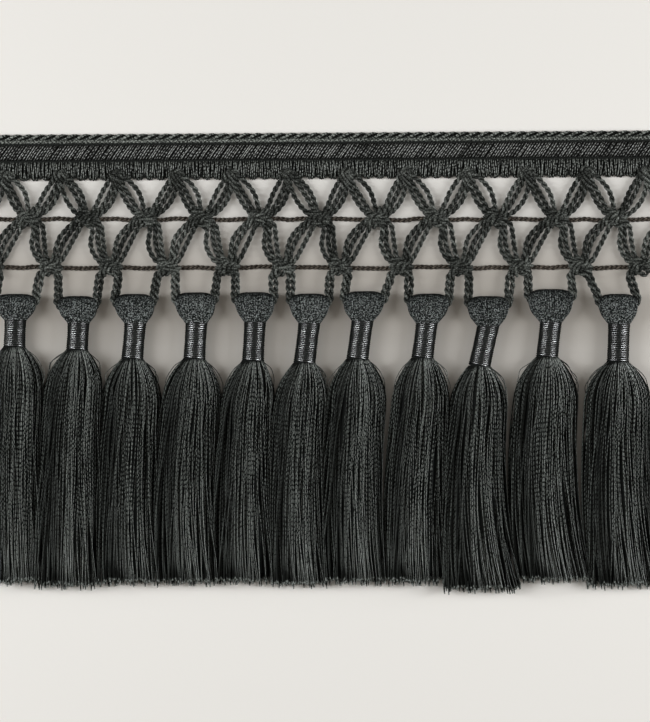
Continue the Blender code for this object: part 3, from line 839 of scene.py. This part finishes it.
def loop_routes(index, chance):
    """The two strands of each leg, from a lower knot down round a corner of the head's fold."""
    tassel = TASSELS[index]
    drop = tassel.head_top - 2.6
    routes = []
    for side, knot_x in ((-1, DIAMONDS[index].knot_x), (1, DIAMONDS[index + 1].knot_x)):
        edge = tassel.head_x + side * (tassel.head_width / 2 - 0.2)
        shoulder = knot_x + (2.3 if side < 0 else -3.3)
        middle = LOWER_KNOT_Y - 0.5 * (LOWER_KNOT_Y - drop)
        for across, level in ((-0.7, 0.25), (0.7, -0.25)):
            sway = chance.uniform(-0.25, 0.25)
            route = [
                (knot_x + across * 0.5 - side * 0.6, LOWER_KNOT_Y - 0.4, KNOT_Z + level),
                (shoulder + across * 0.9, LOWER_KNOT_Y - 2.6, 3.3 + level),
                (shoulder * 0.6 + edge * 0.4 + across + sway, middle, 3.4 + level),
                (shoulder * 0.2 + edge * 0.8 + across, drop + 3.0, 3.9 + level),
                (edge + 0.8 * across + side * 0.3, drop + 0.8, 4.5 + level),
                (edge + 0.5 * across - side * 0.5, drop - 1.0, 4.9),
                (edge - side * 1.6, drop - 2.0, 4.2),
            ]
            routes.append(route)
    return routes


# The tassels


def skirt_bow(tassel):
    """How far a skirt bows aside between its shoulder and its hem."""
    return tassel.mid_x - (tassel.skirt_x + tassel.hem_x) / 2


def skirt_shape(tassel, drop):
    """A skirt at a drop below its neck: half its width, its middle, half its depth, its height."""
    length = tassel.neck_foot - tassel.hem_y
    opened = min(drop / SHOULDER_REACH, 1.0)
    fallen = max((drop - SHOULDER_REACH) / (length - SHOULDER_REACH), 0.0)
    swell = 1 - (1 - opened) ** SHOULDER_ROUNDNESS
    width = NECK_RADIUS + (tassel.skirt_width / 2 - NECK_RADIUS) * swell
    width += (tassel.hem_width - tassel.skirt_width) / 2 * fallen**HEM_FLARE
    middle = tassel.foot_x + (tassel.skirt_x - tassel.foot_x) * opened
    middle += (tassel.hem_x - tassel.skirt_x) * fallen
    middle += skirt_bow(tassel) * 4 * fallen * (1 - fallen)
    half = (NECK_RADIUS + SKIRT_SWELL * swell) * (1 - HEM_THINNING * fallen)
    level = TASSEL_Z - SHOULDER_SINK * swell - HEM_SINK * fallen
    return width, middle, half, level


def core_rings(tassel):
    """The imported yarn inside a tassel, from the fold of its head to near its hem."""
    rings = []
    around = [TAU * i / 16 for i in range(16)]

    def ring(x, y, half, depth, level=TASSEL_Z):
        rings.append(
            [(x + half * math.cos(a), y, max(level + depth * math.sin(a), 0.35)) for a in around]
        )

    height = tassel.head_top - tassel.neck_top
    for up, half, depth in HEAD_CORE:
        x = tassel.neck_x + (tassel.head_x - tassel.neck_x) * up
        ring(x, tassel.neck_top + height * up, half * tassel.head_width / 2, depth)
    ring(tassel.neck_x, tassel.neck_top, 3.2, 3.2)
    ring(tassel.foot_x, tassel.neck_foot, 3.1, 3.1)
    length = tassel.neck_foot - tassel.hem_y
    for drop in (*CORE_DROPS, length - 3.0):
        width, middle, half, level = skirt_shape(tassel, drop)
        ring(middle, tassel.neck_foot - drop, width * 0.82, half * 0.78, level)
    return rings


def move(obj, x, y, z):
    """Moves an object's mesh, and leaves the object at the origin."""
    obj.data.transform(Matrix.Translation(Vector((x, y, z)) * MM))


def build_tassel(index):
    """A tassel's skirt, head and core, and the binding round its neck."""
    tassel = TASSELS[index]
    name = f"tassel_{index + 1:02d}"
    skirt = grown(
        name + "_skirt", blank(), SKIRT, SKIRT_YARN, "tassel_yarn",
        threads=340, points=17, length=tassel.neck_foot - tassel.hem_y, neck=NECK_RADIUS,
        bulge=tassel.skirt_width / 2, bulge_x=tassel.skirt_x - tassel.foot_x,
        hem=tassel.hem_width / 2, hem_x=tassel.hem_x - tassel.foot_x, bow=skirt_bow(tassel),
        depth=NECK_RADIUS + SKIRT_SWELL, level=TASSEL_Z, thread=0.27, cross=0.3, seed=100 * index,
    )
    move(skirt, tassel.foot_x, tassel.neck_foot, 0.0)
    head = grown(
        name + "_head", blank(), HEAD, HEAD_YARN, "tassel_yarn",
        threads=48, points=21, height=tassel.head_top - tassel.neck_top + 0.4,
        width=tassel.head_width / 2, neck=NECK_RADIUS, top_x=tassel.head_x - tassel.neck_x,
        depth=2.9, thread=0.26, seed=100 * index + 50,
    )
    move(head, tassel.neck_x, tassel.neck_top - 0.6, TASSEL_Z)
    core = piece(name + "_core", lofted(core_rings(tassel)))
    core.data.materials.append(PACKED_YARN_IN_SHADE)
    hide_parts(name)
    top = Vector((tassel.neck_x, tassel.neck_top - 0.2, TASSEL_Z))
    foot = Vector((tassel.foot_x, tassel.neck_foot + 0.1, TASSEL_Z))
    length = (top - foot).length
    binding = grown(
        f"binding_{index + 1:02d}_thread", blank(), WHIPPING, BINDING_YARN, "binding_yarn",
        turns=length / 0.6, points=24, radius=3.3, height=length, thread=0.44, seed=index,
    )
    lean = (top - foot).to_track_quat("Z", "Y").to_matrix().to_4x4()
    binding.data.transform(Matrix.Translation((top + foot) / 2 * MM) @ lean)
    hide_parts(f"binding_{index + 1:02d}")


def build_strays():
    """A few fine yarns that stand away from the shoulders."""
    chance = random.Random(5)
    routes = []
    for tassel in TASSELS:
        for _ in range(STRAYS_EACH):
            side = chance.choice((-1, 1))
            reach = chance.uniform(7.0, 14.0)
            level = TASSEL_Z + chance.uniform(-1.0, 2.0)
            route = [(tassel.foot_x + side * 3.2, tassel.neck_foot - 0.2, level)]
            for share in (0.25, 0.5, 0.75, 1.0):
                width, middle, _, _ = skirt_shape(tassel, reach * share)
                out = width + chance.uniform(0.4, 1.7) * math.sin(math.pi * share * 0.9)
                route.append((middle + side * out, tassel.neck_foot - reach * share, level))
            routes.append(route)
    grown(
        "stray_ends", guides(routes), CORD, NET_YARN, "tassel_yarn",
        plies=1, pitch=3.0, lay=0.0, ply=0.17, step=0.8, sides=3, seed=6,
    )


# The floor, the light and the camera


def area_light(name, spot, size, power, colour=(0.98, 1.0, 1.02)):
    """A soft light that looks at the trim, with its place and size in metres."""
    data = bpy.data.lights.new(name, "AREA")
    data.shape = "RECTANGLE"
    data.size, data.size_y = size
    data.energy = power
    data.color = colour
    light = bpy.data.objects.new(name, data)
    light.location = spot
    light.rotation_euler = (-Vector(spot)).to_track_quat("-Z", "Y").to_euler()
    bpy.context.scene.collection.objects.link(light)
    return light


def build_floor():
    bm = bmesh.new()
    bmesh.ops.create_grid(bm, x_segments=1, y_segments=1, size=1.5)
    mesh = bpy.data.meshes.new("floor")
    bm.to_mesh(mesh)
    bm.free()
    floor = bpy.data.objects.new("floor", mesh)
    floor.location.z = -0.0001
    mesh.materials.append(floor_material())
    bpy.context.scene.collection.objects.link(floor)


def build_lights():
    """A softbox from each side, a broad light from above, and a faint warm surround."""
    area_light("left_softbox", (-0.69, 0.05, 0.54), (0.2, 0.8), 6.2)
    area_light("right_softbox", (0.75, 0.05, 0.45), (0.2, 0.8), 6.4)
    ceiling = area_light("ceiling", (0.0, 0.0, 1.4), (1.6, 1.6), 4.8, (1.0, 0.96, 0.90))
    ceiling.visible_glossy = False
    world = bpy.data.worlds.new("studio")
    world.use_nodes = True
    background = world.node_tree.nodes["Background"]
    background.inputs["Color"].default_value = (1.0, 0.93, 0.85, 1.0)
    background.inputs["Strength"].default_value = 0.06
    bpy.context.scene.world = world
    bpy.context.scene.view_settings.view_transform = "Standard"


def build_camera():
    """Straight above the trim, from far off, with the photo's frame on the surface."""
    data = bpy.data.cameras.new("camera")
    data.lens = LENS
    data.sensor_fit = "VERTICAL"
    data.sensor_height = SENSOR
    data.clip_end = 20.0
    camera = bpy.data.objects.new("camera", data)
    distance = FRAME_HEIGHT * LENS / SENSOR
    camera.location = Vector((*FRAME_CENTRE, FRAME_LEVEL + distance)) * MM
    bpy.context.scene.collection.objects.link(camera)
    bpy.context.scene.camera = camera


build_floor()
build_lights()
build_camera()
build_heading()
build_netting()
for number in range(len(TASSELS)):
    build_tassel(number)
build_strays()
